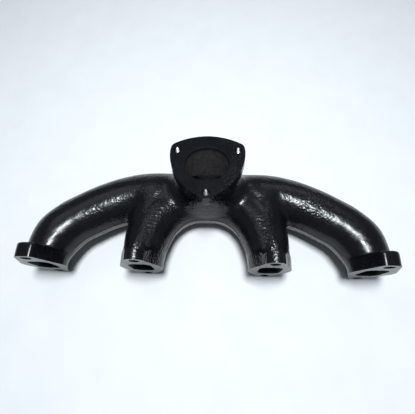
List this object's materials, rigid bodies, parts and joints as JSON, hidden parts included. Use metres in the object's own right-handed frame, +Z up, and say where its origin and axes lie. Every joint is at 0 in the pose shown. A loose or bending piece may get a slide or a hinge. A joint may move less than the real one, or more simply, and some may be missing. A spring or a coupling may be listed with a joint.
{
  "type": "exhaust manifold",
  "caption": "Black painted cast-iron log exhaust manifold: curved end runners, short inner legs, two-bolt port flanges and a leaning three-bolt outlet flange.",
  "frame": {"origin": "middle of the object's box on the plane it rests on; the port faces lie 73.8 mm in front of it, in one upright plane", "axes": "+X along the port row, +Y away from the cylinder head, +Z up; the port faces face -Y"},
  "size_m": [0.4124, 0.1476, 0.1063],
  "materials": {
    "black_painted_iron": "gloss black paint over sand-cast iron",
    "bare_thread_steel": "bare cut thread"
  },
  "bodies": {
    "root": {"collector_left": "black_painted_iron", "collector_right": "black_painted_iron", "end_runner_1": "black_painted_iron", "end_runner_4": "black_painted_iron", "inner_leg_2": "black_painted_iron", "inner_leg_3": "black_painted_iron", "outlet_neck": "black_painted_iron", "outlet_flange": "black_painted_iron", "outlet_thread_inserts": "bare_thread_steel", "port_flange_1": "black_painted_iron", "upper_bolt_lug_1": "black_painted_iron", "lower_bolt_lug_1": "black_painted_iron", "port_flange_2": "black_painted_iron", "upper_bolt_lug_2": "black_painted_iron", "lower_bolt_lug_2": "black_painted_iron", "port_flange_3": "black_painted_iron", "upper_bolt_lug_3": "black_painted_iron", "lower_bolt_lug_3": "black_painted_iron", "port_flange_4": "black_painted_iron", "upper_bolt_lug_4": "black_painted_iron", "lower_bolt_lug_4": "black_painted_iron"}
  },
  "joints": []
}
